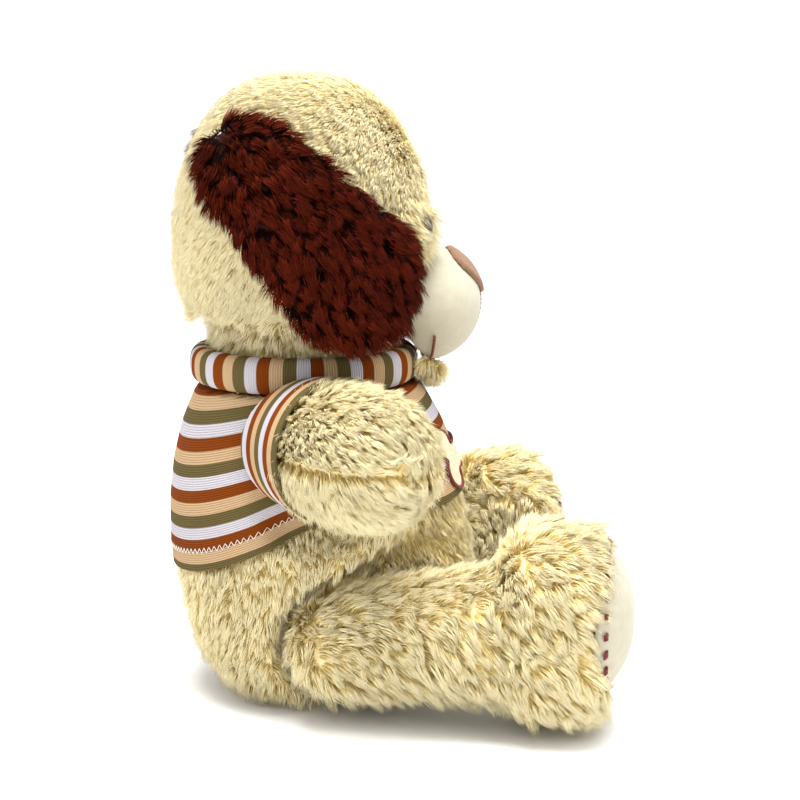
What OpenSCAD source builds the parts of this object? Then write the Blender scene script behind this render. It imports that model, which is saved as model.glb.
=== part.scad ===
// Sitting plush dog in a striped knitted sweater.
// Millimetres, +Z up. The dog faces -Y, and its own right side is at -X.
// Paired parts are drawn for the left side (+X) and mirrored for the right.

/* [Head] */
// Radius of the head at its widest ring
head_r = 68.5; // [68:0.5:69]
// Height of the head's widest ring above the ground
head_z = 222; // [221:1:223]
// Distance from the widest ring up to the crown
crown_h = 93; // [90:1:95]
// Distance from the widest ring down to where the jaw would close
jaw_h = 66; // [64:1:67]
// Thickness of the head's pile and backing
head_pile = 10; // [9:0.5:11]
// Half the width of the centre gusset between the two side panels
gusset_half = 20; // [16:1:24]
// Half the width of the velour muzzle
muzzle_half = 38; // [36:1:39]
// Radius of the muzzle seen from the side
muzzle_r = 30; // [29:0.5:30.5]
// Radius of each plastic eye
eye_r = 8; // [7:0.5:8]

/* [Ears] */
// Thickness of an ear with its pile
ear_t = 14; // [12:1:15]
// Radius of the ear's lower, free end
ear_tip_r = 33.5; // [32:0.5:33.5]
// Radius of the ear's upper end, at the seam
ear_root_r = 24; // [22:0.5:24]

/* [Torso] */
// Radius of the torso at its widest
torso_r = 75.5; // [74:0.5:76]
// Angle by which the torso leans back
torso_lean = 8; // [6:1:9]
// Thickness of the body's pile and backing
body_pile = 8; // [6:1:9]
// Height of the torso's top, where the neck turns
torso_top = 158; // [157:0.5:158]
// Thickness of the sweater's knitted cloth
knit_t = 2.3; // [1.8:0.1:2.4]
// Half the length of the bone on the sweater's chest
bone_half = 36; // [30:1:38]

/* [Arms] */
// Radius of an arm at its widest
arm_r = 35.5; // [34:0.5:35.5]
// Length of an arm from the shoulder's centre to the tip
arm_len = 87; // [80:1:88]
// Angle by which an arm points forward of straight out
arm_forward = 30; // [26:1:32]
// Length of the sleeve from the shoulder's centre
sleeve_len = 24; // [18:1:28]

/* [Legs] */
// Radius of a leg between hip and foot
leg_r = 31; // [29:0.5:31]
// Radius of a foot seen from the front
foot_r = 42; // [40:0.5:42]
// Half the thickness of a foot, back to sole
foot_half = 25; // [23:0.5:25]
// Angle by which a foot points outward
foot_splay = 14; // [13:1:15]
// Radius of the round velour pad on the sole
pad_r = 35; // [32:0.5:35]
// Number of satin dashes around each pad
dash_count = 24; // [16:1:28]

/* [Hidden] */
$fn = 96;

cream = [0.96, 0.89, 0.70];
velour = [0.93, 0.91, 0.84];
brown = [0.27, 0.07, 0.04];
fibre = [0.97, 0.97, 0.95];

gap = 0.3;        // between bodies that move against each other
thin = 0.1;       // between layers of one body
far = 400;        // past everything

// Head and neck. The neck's centre is the ball that the head rocks on.
axis_y = 39.5;
neck = [0, axis_y, 150];
ball_r = 62.7;
neck_r = 42;
neck_cloth = 2;
crown_n = 2.25;   // roundness of the crown, 2 is a plain ellipse
muzzle = [0, -20.5, 196];
muzzle_skin = 2;
chin = [0, -6, 176];
chin_r = 26;
eye = [31, 236];  // sideways from the middle, and up
eye_set = 61.4;   // the eye's centre from the head's axis
eye_back = 60.2;  // the flat back of the eye from the head's axis
shank_r = 2.5;
shank_long = 7;
washer_r = 9;
washer_t = 2;
washer_at = 55.2; // the washer's inner face from the head's axis
nose_tilt = 37;
nose_wide = 25;
nose_high = 15;
nose_proud = 2.5;
thread = 1.4;     // width of the mouth's stitched line
thread_proud = 0.9;
mouth_y = -22;
mouth_top = 184;
philtrum_top = 199;

// Ears. Two circles, seen from the side, that the ear's outline wraps.
ear_tip = [22, 217];
ear_root = [68, 266];
ear_gap = 1.5;
lining_t = 3;
lining_inset = 4;
wadding_t = 2;
wadding_inset = 5;

// Torso, measured along its own leaning axis.
torso_mid = [0, 28.5, 62];
torso_up = 128;
torso_down = 70;
torso_up_n = 2.2;
torso_down_n = 2.6;
base_pile = 5;
hem_z = 94;
hem_tilt = 14.5;
collar_r = 50.5;
collar_half = 6.5;
collar_z = 169.5;
bone_z = 121;
bone_knob = 8;
border_half = 1.5;
felt_t = 1;
satin_t = 1.7;

// Arms. Each turns against a flat round recess in the side of the torso.
shoulder = [58, 41, 136];
shoulder_plane = 61;
arm_root_r = 28;
arm_root_s = -20;
arm_wide_s = 40;
arm_pile = 8;
recess_in = 44.5;
recess_out = 58;
recess_deep = 17;

// Legs. Each turns against a flat cheek in the side of the torso.
hip = [62, 25, 38];
hip_plane = 46;
ankle = [88, -75, 50];
leg_flare = 7;      // how much wider the leg is at the ankle than at the hip
leg_up = 15;
leg_down = 20;
sweep_reach = 120;
leg_pile = 9;
foot_x = 88;
foot_low = 43;
foot_high = 71;
sole_edge = 12;
heel_edge = 18;
pad_z = 57;
pad_dome = 11;
pad_curve = (pad_r * pad_r + pad_dome * pad_dome) / (2 * pad_dome);
front_y = -108;   // the sole's foremost point, as far forward as the head is back
foot_y = front_y + pad_curve - (pad_curve - foot_half - pad_dome) * cos(foot_splay);
dash_long = 5;
dash_wide = 2.6;
dash_proud = 0.9;

// A quarter of a rounded ellipse: a across, b up, from the side to the pole.
function quarter(a, b, n, steps) =
    [for (i = [0 : steps]) let (t = 90 * i / steps)
        [a * pow(cos(t), 2 / n), b * pow(sin(t), 2 / n)]];
function below(points) = [for (i = [len(points) - 1 : -1 : 1]) [points[i][0], -points[i][1]]];

// Everything on one side of a plane square to X, Y or Z.
module beyond_x(x) { translate([x, -far, -far]) cube(2 * far); }
module in_front_of_y(y) { translate([-far, y - 2 * far, -far]) cube(2 * far); }
module above_z(z) { translate([-far, -far, z]) cube(2 * far); }
module below_z(z) { translate([-far, -far, z - 2 * far]) cube(2 * far); }

// Turns the Z axis to run from one point to another.
module along(from, to) {
    d = to - from;
    translate(from) rotate([0, acos(d[2] / norm(d)), atan2(d[1], d[0])]) children();
}

module right_side() { mirror([1, 0, 0]) children(); }

// ---- Head ----

module head_form(grow) {
    up = quarter(head_r + grow, crown_h + grow, crown_n, 9);
    down = below(quarter(head_r + grow, jaw_h + grow, 2, 6));
    translate([0, axis_y, head_z]) rotate_extrude() polygon(concat(down, up));
}

module muzzle_form(grow) {
    side = quarter(muzzle_r + grow, muzzle_half + grow, 2, 7);
    translate(muzzle) rotate([0, 90, 0]) rotate_extrude()
        polygon(concat(below(side), side));
}

module socket() { translate(neck) sphere(r = ball_r + gap); }

module head_core() { head_form(-head_pile); }

// Places a piece on the left eye's own line, with Z pointing outward.
module on_eye_line() {
    translate([0, axis_y, eye[1]])
        rotate([0, 90, -acos(eye[0] / eye_set)]) children();
}

module eye_form() {
    on_eye_line() {
        intersection() {
            translate([0, 0, eye_set]) sphere(r = eye_r);
            translate([0, 0, eye_back]) cylinder(h = 2 * eye_r, r = 2 * eye_r);
        }
        translate([0, 0, eye_back - shank_long]) cylinder(h = shank_long + thin, r = shank_r);
    }
}

module washer_form() {
    on_eye_line() translate([0, 0, washer_at]) cylinder(h = washer_t, r = washer_r);
}

module eyes_and_washers() {
    for (side = [0, 1]) mirror([side, 0, 0]) { eye_form(); washer_form(); }
}

module head_shell() {
    difference() {
        head_form(0);
        head_core();
        socket();
        muzzle_form(0);
        eyes_and_washers();
    }
}

module head_gusset() {
    color(cream) intersection() {
        head_shell();
        translate([-gusset_half, -far, 0]) cube([2 * gusset_half, 2 * far, far]);
    }
}

module head_side() {
    color(cream) intersection() { head_shell(); beyond_x(gusset_half); }
}

module head_stuffing() {
    color(fibre) difference() {
        head_form(-head_pile);
        socket();
        eyes_and_washers();
    }
}

module chin_panel() {
    color(cream) difference() {
        translate(chin) sphere(r = chin_r);
        head_form(0);
        muzzle_form(0);
        socket();
    }
}

module muzzle_panel() {
    color(velour) difference() {
        muzzle_form(0);
        muzzle_form(-muzzle_skin);
        head_core();
        socket();
    }
}

module muzzle_stuffing() {
    color(fibre) difference() {
        muzzle_form(-muzzle_skin);
        head_core();
        socket();
    }
}

// A soft triangle, wide above and narrow below.
function nose_outline() =
    [for (a = [0 : 15 : 345])
        [nose_wide * cos(a) * (0.72 + 0.28 * sin(a)), nose_high * sin(a)]];

module nose_patch() {
    color([0.74, 0.55, 0.45]) intersection() {
        difference() { muzzle_form(nose_proud); muzzle_form(0); head_form(0); }
        translate(muzzle) rotate([90 - nose_tilt, 0, 0])
            linear_extrude(height = far) polygon(nose_outline());
    }
}

module mouth_stitch() {
    line = thread / 2;
    color([0.35, 0.20, 0.13]) difference() {
        intersection() {
            difference() { muzzle_form(thread_proud); muzzle_form(0); }
            union() {
                translate([-far, mouth_y - line, 0]) cube([2 * far, thread, mouth_top]);
                translate([-line, -far, 0]) cube([thread, far + mouth_y, philtrum_top]);
            }
        }
        head_form(0);
        translate(chin) sphere(r = chin_r);
        socket();
    }
}

module eye_plastic() { color([0.03, 0.02, 0.02]) eye_form(); }

module eye_washer() {
    color([0.85, 0.85, 0.82]) difference() { washer_form(); eye_form(); }
}

// ---- Ears ----

// Two circles and the straight sides that touch both.
module wrapped_pair(p, rp, q, rq) {
    d = q - p;
    a = atan2(d[1], d[0]);
    s = acos((rp - rq) / norm(d));
    translate(p) circle(r = rp);
    translate(q) circle(r = rq);
    polygon([p + rp * [cos(a + s), sin(a + s)], p + rp * [cos(a - s), sin(a - s)],
             q + rq * [cos(a - s), sin(a - s)], q + rq * [cos(a + s), sin(a + s)]]);
}

module ear_outline(inset) {
    rotate([90, 0, 90]) linear_extrude(height = far)
        wrapped_pair(ear_tip, ear_tip_r - inset, ear_root, ear_root_r - inset);
}

// Follows the head above its widest ring and hangs straight below it.
module ear_section(out) {
    polygon(concat([[0, -jaw_h], [head_r + out, -jaw_h]],
                   quarter(head_r + out, crown_h + out, crown_n, 9)));
}

module ear_layer(from, to, inset) {
    intersection() {
        translate([0, axis_y, head_z]) rotate_extrude() difference() {
            ear_section(to);
            ear_section(from);
        }
        ear_outline(inset);
    }
}

module ear_lining() {
    color(brown) ear_layer(ear_gap, ear_gap + lining_t, lining_inset);
}

module ear_wadding() {
    color(fibre) ear_layer(ear_gap + lining_t, ear_gap + lining_t + wadding_t, wadding_inset);
}

module ear_plush() {
    color(brown) difference() {
        ear_layer(ear_gap, ear_gap + ear_t, 0);
        ear_layer(0, ear_gap + lining_t, lining_inset);
        ear_layer(ear_gap + lining_t - thin, ear_gap + lining_t + wadding_t, wadding_inset);
    }
}

// ---- Neck ----

module neck_form(r) {
    intersection() {
        translate(neck) sphere(r = ball_r);
        translate([0, axis_y, torso_top + gap]) cylinder(h = far, r = r);
    }
}

module neck_skin() {
    color(cream) difference() {
        neck_form(neck_r);
        translate([0, axis_y, 0]) cylinder(h = far, r = neck_r - neck_cloth);
    }
}

module neck_stuffing() { color(fibre) neck_form(neck_r - neck_cloth); }

// ---- Torso and sweater ----

module in_torso_frame() { translate(torso_mid) rotate([-torso_lean, 0, 0]) children(); }

module torso_form(grow) {
    up = quarter(torso_r + grow, torso_up + grow, torso_up_n, 9);
    down = below(quarter(torso_r + grow, torso_down + grow, torso_down_n, 7));
    in_torso_frame() rotate_extrude() polygon(concat(down, up));
}

module front_half() { in_torso_frame() in_front_of_y(0); }

// The room that each arm and each leg needs to swing beside the torso.
module swing_room() {
    for (side = [0, 1]) mirror([side, 0, 0]) {
        translate([shoulder_plane, shoulder[1], shoulder[2]]) rotate([0, 90, 0])
            cylinder(h = recess_deep, r1 = recess_in, r2 = recess_out);
        translate([hip_plane, 0, 0]) rotate([90, 0, 90]) linear_extrude(height = 60)
            translate([hip[1], hip[2]]) leg_sweep();
    }
}

// The leg seen from the side, at every angle it can take.
module leg_sweep() {
    r = leg_r + 2 * gap;
    rise = atan2(ankle[2] - hip[2], hip[1] - ankle[1]);
    flare = atan2(leg_flare, norm(ankle - hip));
    up = leg_up + rise + flare;
    down = leg_down - rise + flare;
    top = r * [sin(up), cos(up)];
    bottom = r * [sin(down), -cos(down)];
    circle(r = r + 1);
    polygon([top, top + sweep_reach * [-cos(up), sin(up)],
             bottom - sweep_reach * [cos(down), sin(down)], bottom]);
}

module torso_core() {
    intersection() { torso_form(-body_pile); above_z(base_pile); below_z(torso_top); }
}

module torso_shell() {
    difference() {
        intersection() { torso_form(0); above_z(0); below_z(torso_top); }
        torso_core();
        swing_room();
    }
}

module torso_front() { color(cream) intersection() { torso_shell(); front_half(); } }

module torso_back() { color(cream) difference() { torso_shell(); front_half(); } }

module torso_stuffing() { color(fibre) difference() { torso_core(); swing_room(); } }

module sweater_shell() {
    difference() {
        torso_form(thin + knit_t);
        torso_form(thin);
        translate([0, 0, hem_z]) rotate([-hem_tilt, 0, 0]) below_z(0);
        above_z(torso_top);
        swing_room();
    }
}

module sweater_front() {
    color([0.86, 0.55, 0.30]) intersection() { sweater_shell(); front_half(); }
}

module sweater_back() {
    color([0.86, 0.55, 0.30]) difference() { sweater_shell(); front_half(); }
}

module sweater_collar() {
    low = torso_top + thin;
    color([0.55, 0.48, 0.28]) difference() {
        translate([0, axis_y, 0]) rotate_extrude() translate([collar_r, 0]) {
            translate([0, collar_z]) circle(r = collar_half);
            translate([-collar_half, low]) square([2 * collar_half, collar_z - low]);
        }
        swing_room();
    }
}

module bone_outline(grow) {
    w = 2 * (bone_half - bone_knob);
    knob_z = bone_knob - 2;
    square([w, 2 * (knob_z + grow)], center = true);
    for (x = [-1, 1], z = [-1, 1])
        translate([x * w / 2, z * knob_z]) circle(r = bone_knob + grow);
}

module on_chest(from, to) {
    intersection() {
        difference() { torso_form(to); torso_form(from); }
        translate([0, 0, bone_z]) rotate([90, 0, 0]) linear_extrude(height = far) children();
    }
}

module chest_bone() {
    out = thin + knit_t + thin;
    color([0.95, 0.83, 0.72]) on_chest(out, out + felt_t) bone_outline(-border_half);
}

module chest_bone_border() {
    out = thin + knit_t + thin;
    color([0.25, 0.08, 0.06]) on_chest(out, out + satin_t) difference() {
        bone_outline(border_half);
        bone_outline(-border_half);
    }
}

// ---- Arms ----

module arm_form(grow) {
    cap = quarter(arm_r + grow, arm_len - arm_wide_s + grow, 2.2, 7);
    tip = [for (p = cap) [p[0], p[1] + arm_wide_s]];
    span = arm_wide_s - arm_root_s;
    sleeve_side = [for (i = [0 : 4]) let (u = i / 5)
        [arm_root_r + grow + (arm_r - arm_root_r) * sin(90 * u), arm_root_s + span * u]];
    translate(shoulder) rotate([0, 90, -arm_forward]) rotate_extrude()
        polygon(concat([[0, arm_root_s]], sleeve_side, tip));
}

module arm_shell() {
    intersection() {
        difference() { arm_form(0); arm_form(-arm_pile); }
        beyond_x(shoulder_plane + gap);
    }
}

module arm_upper() { color(cream) intersection() { arm_shell(); above_z(shoulder[2]); } }

module arm_lower() { color(cream) difference() { arm_shell(); above_z(shoulder[2]); } }

module arm_stuffing() {
    color(fibre) intersection() { arm_form(-arm_pile); beyond_x(shoulder_plane + gap); }
}

module sleeve() {
    color([0.86, 0.55, 0.30]) intersection() {
        difference() { arm_form(thin + knit_t); arm_form(thin); }
        beyond_x(shoulder_plane + gap);
        translate(shoulder) rotate([0, 90, -arm_forward]) below_z(sleeve_len);
    }
}

// ---- Legs ----

module leg_tube(r) {
    long = norm(ankle - hip);
    along(hip, ankle) rotate_extrude() intersection() {
        union() { circle(r = r); polygon([[0, 0], [r, 0], [r + leg_flare, long], [0, long]]); }
        translate([0, -far]) square([far, 2 * far]);
    }
}

// A thick round disc, softer at the heel than at the sole.
module foot_disc(z, grow) {
    r = foot_r + grow;
    h = foot_half + grow;
    sole = sole_edge + grow;
    heel = heel_edge + grow;
    translate([foot_x, foot_y, z]) rotate([0, 0, foot_splay]) rotate([90, 0, 0])
        rotate_extrude() {
            translate([0, -h]) square([r - heel, 2 * h]);
            translate([0, heel - h]) square([r, 2 * h - heel - sole]);
            square([r - sole, h]);
            translate([r - sole, h - sole]) circle(r = sole);
            translate([r - heel, heel - h]) circle(r = heel);
        }
}

module foot_form(grow) { foot_disc(foot_low, grow); foot_disc(foot_high, grow); }

module leg_form(grow) { leg_tube(leg_r + grow); foot_form(grow); }

module leg_shell() {
    intersection() {
        difference() { leg_form(0); leg_form(-leg_pile); }
        beyond_x(hip_plane + gap);
    }
}

// The outer side of the upright plane through the leg's own line.
module leg_outside() {
    translate([hip[0], hip[1], 0]) rotate([0, 0, foot_splay]) beyond_x(0);
}

module leg_outer() { color(cream) intersection() { leg_shell(); leg_outside(); } }

module leg_inner() { color(cream) difference() { leg_shell(); leg_outside(); } }

module leg_stuffing() {
    color(fibre) intersection() { leg_form(-leg_pile); beyond_x(hip_plane + gap); }
}

// Places a piece on the pad's own line, with Z pointing out of the sole.
module on_pad_line() {
    translate([foot_x, foot_y, pad_z]) rotate([0, 0, foot_splay]) rotate([90, 0, 0]) children();
}

module foot_pad() {
    color(velour) on_pad_line() intersection() {
        translate([0, 0, foot_half + pad_dome - pad_curve]) sphere(r = pad_curve, $fn = 256);
        translate([0, 0, foot_half]) cylinder(h = 2 * pad_dome, r = 2 * pad_r);
    }
}

module pad_stitches() {
    color([0.28, 0.07, 0.08]) difference() {
        intersection() {
            foot_form(dash_proud);
            on_pad_line() for (i = [0 : dash_count - 1]) rotate([0, 0, 360 * i / dash_count])
                translate([pad_r + thin, -dash_wide / 2, 0]) cube([dash_long, dash_wide, far]);
        }
        foot_form(0);
    }
}

// ---- Nodes ----

head_gusset();
right_side() head_side();  // head_side_right
head_side();  // head_side_left
chin_panel();
muzzle_panel();
muzzle_stuffing();
nose_patch();
mouth_stitch();
head_stuffing();
right_side() eye_plastic();  // eye_right
eye_plastic();  // eye_left
right_side() eye_washer();  // eye_washer_right
eye_washer();  // eye_washer_left
right_side() ear_plush();  // ear_plush_right
ear_plush();  // ear_plush_left
right_side() ear_lining();  // ear_lining_right
ear_lining();  // ear_lining_left
right_side() ear_wadding();  // ear_wadding_right
ear_wadding();  // ear_wadding_left
neck_skin();
neck_stuffing();
torso_front();
torso_back();
torso_stuffing();
sweater_front();
sweater_back();
sweater_collar();
chest_bone();
chest_bone_border();
right_side() arm_upper();  // arm_upper_right
arm_upper();  // arm_upper_left
right_side() arm_lower();  // arm_lower_right
arm_lower();  // arm_lower_left
right_side() arm_stuffing();  // arm_stuffing_right
arm_stuffing();  // arm_stuffing_left
right_side() sleeve();  // sleeve_right
sleeve();  // sleeve_left
right_side() leg_outer();  // leg_outer_right
leg_outer();  // leg_outer_left
right_side() leg_inner();  // leg_inner_right
leg_inner();  // leg_inner_left
right_side() leg_stuffing();  // leg_stuffing_right
leg_stuffing();  // leg_stuffing_left
right_side() foot_pad();  // foot_pad_right
foot_pad();  // foot_pad_left
right_side() pad_stitches();  // pad_stitches_right
pad_stitches();  // pad_stitches_left
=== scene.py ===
"""A sitting plush dog in a striped knitted sweater, dressed around its CAD frame. Lengths are in metres."""

import math

import bpy
import numpy as np
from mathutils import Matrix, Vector
from mathutils.bvhtree import BVHTree
from mathutils.kdtree import KDTree


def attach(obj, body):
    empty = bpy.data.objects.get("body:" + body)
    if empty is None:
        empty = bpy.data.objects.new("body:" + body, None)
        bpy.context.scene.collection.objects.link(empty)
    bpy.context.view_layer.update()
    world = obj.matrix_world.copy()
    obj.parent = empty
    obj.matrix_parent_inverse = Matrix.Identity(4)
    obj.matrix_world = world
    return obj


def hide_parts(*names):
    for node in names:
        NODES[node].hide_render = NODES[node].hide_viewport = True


MM = 0.001
SIDES = {"right": -1, "left": 1}

# The places and sizes that the frame is built on.
AXIS_Y = 39.5 * MM
HEAD_Z = 222 * MM
NECK = np.array([0, 39.5, 150]) * MM
SOCKET_R = 63 * MM
MUZZLE = np.array([0, -20.5, 196]) * MM
MUZZLE_R = 30 * MM
MUZZLE_HALF = 38 * MM
EYE = np.array([31, -13.5, 236]) * MM
CHIN = np.array([0, -6, 176]) * MM
CHIN_R = 26 * MM
EAR_TIP = np.array([0, 22, 217]) * MM
EAR_ROOT = np.array([0, 68, 266]) * MM
TORSO_MID = np.array([0, 28.5, 62]) * MM
TORSO_LEAN = math.radians(8)
TORSO_TOP = 158 * MM
HEM_Z = 94 * MM
HEM_TILT = math.radians(14.5)
COLLAR_R = 50.5 * MM
COLLAR_HALF = 6.5 * MM
COLLAR_LOW = 158.1 * MM
COLLAR_HIGH = 176 * MM
BONE_Z = 121 * MM
BONE_HALF = 36 * MM
BONE_KNOB = 8 * MM
SHOULDER = np.array([58, 41, 136]) * MM
SHOULDER_PLANE = 61 * MM
ARM_FORWARD = math.radians(30)
ARM_ROOT_R = 28 * MM
ARM_R = 35.5 * MM
ARM_ROOT_S = -20 * MM
ARM_WIDE_S = 40 * MM
ARM_LONG = 87 * MM
SLEEVE_LONG = 24 * MM
HIP = np.array([62, 25, 38]) * MM
HIP_PLANE = 46.3 * MM
ANKLE = np.array([88, -75, 50]) * MM
FOOT_SPLAY = math.radians(14)
PAD_R = 35 * MM
PAD_DOME = 11 * MM
PAD_PUFF = 3 * MM
DASHES = 24

# The knit: its stripes and ribs, how far the hem rises at the sides, and how it stands off the body and arms.
STRIPE = 5.9 * MM
RIB = 1.1 * MM
RIB_ROWS = 5
SIDE_RISE = 12 * MM
SLEEVE_STRIPE = 4.4 * MM
KNIT_THICK = 0.9 * MM
NECK_RING_R = 48 * MM
BODY_STAND = 1.4 * MM
SLEEVE_STAND = 1.3 * MM

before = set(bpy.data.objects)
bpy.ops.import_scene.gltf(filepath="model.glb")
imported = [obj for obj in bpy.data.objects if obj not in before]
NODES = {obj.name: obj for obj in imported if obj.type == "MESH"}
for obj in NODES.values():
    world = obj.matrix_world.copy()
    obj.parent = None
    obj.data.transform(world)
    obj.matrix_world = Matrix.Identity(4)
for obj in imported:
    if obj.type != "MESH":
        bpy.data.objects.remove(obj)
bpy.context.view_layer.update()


# ---- colours and materials ----


def linear(red, green, blue):
    """A linear colour from the 0 to 255 values of a screen colour."""
    share = np.array([red, green, blue]) / 255
    low = share / 12.92
    high = ((share + 0.055) / 1.055) ** 2.4
    return tuple(np.where(share <= 0.04045, low, high)) + (1.0,)


def mixed(one, other, share):
    return tuple(a + (b - a) * share for a, b in zip(one, other))


def material(name, colour, rough=0.85, sheen=0.0, bump=None, mottle=None, specular=0.3):
    """A Principled material. bump is (grain size, depth); mottle is (patch size, second colour)."""
    made = bpy.data.materials.new(name)
    made.use_nodes = True
    nodes = made.node_tree.nodes
    links = made.node_tree.links
    shader = nodes["Principled BSDF"]
    shader.inputs["Base Color"].default_value = colour
    shader.inputs["Roughness"].default_value = rough
    shader.inputs["Sheen Weight"].default_value = sheen
    shader.inputs["Sheen Roughness"].default_value = 0.5
    shader.inputs["Sheen Tint"].default_value = (1.0, 1.0, 1.0, 1.0)
    shader.inputs["Coat Weight"].default_value = 0.0
    shader.inputs["Coat Roughness"].default_value = 0.08
    shader.inputs["Specular IOR Level"].default_value = specular
    place = nodes.new("ShaderNodeTexCoord").outputs["Object"]
    if bump:
        noise = nodes.new("ShaderNodeTexNoise")
        noise.inputs["Scale"].default_value = 1 / bump[0]
        noise.inputs["Detail"].default_value = 3
        relief = nodes.new("ShaderNodeBump")
        relief.inputs["Distance"].default_value = bump[1]
        relief.inputs["Strength"].default_value = 1
        links.new(place, noise.inputs["Vector"])
        links.new(noise.outputs["Fac"], relief.inputs["Height"])
        links.new(relief.outputs["Normal"], shader.inputs["Normal"])
    if mottle:
        patches = nodes.new("ShaderNodeTexNoise")
        patches.inputs["Scale"].default_value = 1 / mottle[0]
        patches.inputs["Detail"].default_value = 4
        ramp = nodes.new("ShaderNodeValToRGB")
        ramp.color_ramp.elements[0].position = 0.35
        ramp.color_ramp.elements[0].color = colour
        ramp.color_ramp.elements[1].position = 0.65
        ramp.color_ramp.elements[1].color = mottle[1]
        links.new(place, patches.inputs["Vector"])
        links.new(patches.outputs["Fac"], ramp.inputs["Fac"])
        links.new(ramp.outputs["Color"], shader.inputs["Base Color"])
    return made


def fur_tones(name, root, tip, spread, count=5):
    """Materials for fur: count tones of its tips, then as many of its roots, which are darker with painted
    shade deep in the pile.
    """
    tones = []
    for part, colour in (("tip", tip), ("root", root)):
        for k in range(count):
            level = 1 + spread * (2 * k / (count - 1) - 1)
            shade = tuple(min(c * level, 1.0) for c in colour[:3]) + (1.0,)
            tones.append(material(f"{name}_{part}_{k}", shade, rough=0.8, specular=0.06))
    return tones


# The root colours are darker and deeper than the tips: painted shade deep in the pile.
CREAM_TIP = linear(242, 230, 188)
CREAM_ROOT_SHADE = linear(240, 218, 150)
BROWN_TIP = linear(84, 25, 8)
BROWN_ROOT_SHADE = linear(30, 5, 2)
cream_fur = fur_tones("cream_fur", CREAM_ROOT_SHADE, CREAM_TIP, 0.08)
brown_fur = fur_tones("brown_fur", BROWN_ROOT_SHADE, BROWN_TIP, 0.45)
# The backings start from the root colours: painted shade where the skin shows between the strands.
cream_backing = material("cream_backing", CREAM_ROOT_SHADE, mottle=(4 * MM, CREAM_TIP), bump=(1 * MM, 0.5 * MM))
brown_backing = material("brown_backing", BROWN_ROOT_SHADE, mottle=(3 * MM, mixed(BROWN_ROOT_SHADE, BROWN_TIP, 0.3)))
velour = material(
    "velour",
    linear(176, 170, 150),
    sheen=0.2,
    bump=(0.7 * MM, 0.12 * MM),
    mottle=(6 * MM, linear(171, 164, 143)),
)
nose_cloth = material(
    "nose_cloth",
    linear(119, 88, 64),
    sheen=0.1,
    bump=(0.7 * MM, 0.2 * MM),
    mottle=(2 * MM, linear(130, 98, 72)),
)
brown_thread = material(
    "brown_thread", linear(96, 52, 34), rough=0.5, mottle=(1 * MM, linear(120, 70, 46))
)
maroon_thread = material(
    "maroon_thread", linear(86, 26, 28), rough=0.35, mottle=(1 * MM, linear(120, 46, 44))
)
felt = material(
    "felt", linear(238, 208, 178), bump=(0.6 * MM, 0.3 * MM), mottle=(2 * MM, linear(228, 194, 160))
)
white_thread = material(
    "white_thread", linear(235, 230, 222), rough=0.6, mottle=(1 * MM, linear(220, 214, 204))
)
fibre = material(
    "fibre", linear(244, 242, 236), bump=(2 * MM, 1 * MM), mottle=(6 * MM, linear(230, 228, 222))
)
eye_gloss = material("eye_gloss", linear(24, 14, 10), rough=0.15, mottle=(3 * MM, linear(40, 22, 14)))
washer_nylon = material(
    "washer_nylon",
    linear(226, 224, 214),
    rough=0.4,
    bump=(1 * MM, 0.05 * MM),
    mottle=(4 * MM, linear(214, 212, 202)),
)

STRIPES = {
    "olive": linear(96, 84, 50),
    "peach": linear(184, 154, 118),
    "orange": linear(120, 56, 8),
    "white": linear(188, 183, 188),
}
# Each rib's rows, from its groove over its crest, as shares of the stripe colour: the darker groove row is
# painted shade between the ribs.
RIB_GROOVE_SHADE = (0.62, 0.9, 1.0, 1.0, 0.9)
knit_tones = []
for stripe_name, stripe_colour in STRIPES.items():
    for k, level in enumerate(RIB_GROOVE_SHADE):
        shaded_yarn = tuple(c * level for c in stripe_colour[:3]) + (1.0,)
        knit_tones.append(
            material(f"knit_{stripe_name}_{k}", shaded_yarn, rough=0.95, bump=(0.5 * MM, 0.12 * MM), specular=0.1)
        )


# ---- meshes ----


def coords(mesh):
    flat = np.empty(len(mesh.vertices) * 3, np.float32)
    mesh.vertices.foreach_get("co", flat)
    return flat.reshape(-1, 3).astype(float)


def triangles(mesh):
    mesh.calc_loop_triangles()
    flat = np.empty(len(mesh.loop_triangles) * 3, np.int32)
    mesh.loop_triangles.foreach_get("vertices", flat)
    return flat.reshape(-1, 3)


def unit(vectors):
    return vectors / np.maximum(np.linalg.norm(vectors, axis=-1, keepdims=True), 1e-12)


def make(name, verts, faces, materials, index=None, smooth=True):
    """A mesh object. faces is a list of arrays, one for each face size.

    index gives each face its material.
    """
    mesh = bpy.data.meshes.new(name)
    mesh.vertices.add(len(verts))
    mesh.vertices.foreach_set("co", np.asarray(verts, np.float32).ravel())
    corners = np.concatenate([f.ravel() for f in faces]).astype(np.int32)
    sizes = np.concatenate([np.full(len(f), f.shape[1]) for f in faces])
    mesh.loops.add(len(corners))
    mesh.loops.foreach_set("vertex_index", corners)
    mesh.polygons.add(len(sizes))
    mesh.polygons.foreach_set("loop_start", (np.cumsum(sizes) - sizes).astype(np.int32))
    mesh.polygons.foreach_set("use_smooth", np.full(len(sizes), smooth))
    if index is not None:
        mesh.polygons.foreach_set("material_index", index.astype(np.int32))
    for each in materials:
        mesh.materials.append(each)
    mesh.update(calc_edges=True)
    mesh.validate()
    made = bpy.data.objects.new(name, mesh)
    bpy.context.scene.collection.objects.link(made)
    return made


def add(piece, kind, **settings):
    modifier = piece.modifiers.new(kind.lower(), kind)
    for key, value in settings.items():
        setattr(modifier, key, value)


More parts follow.
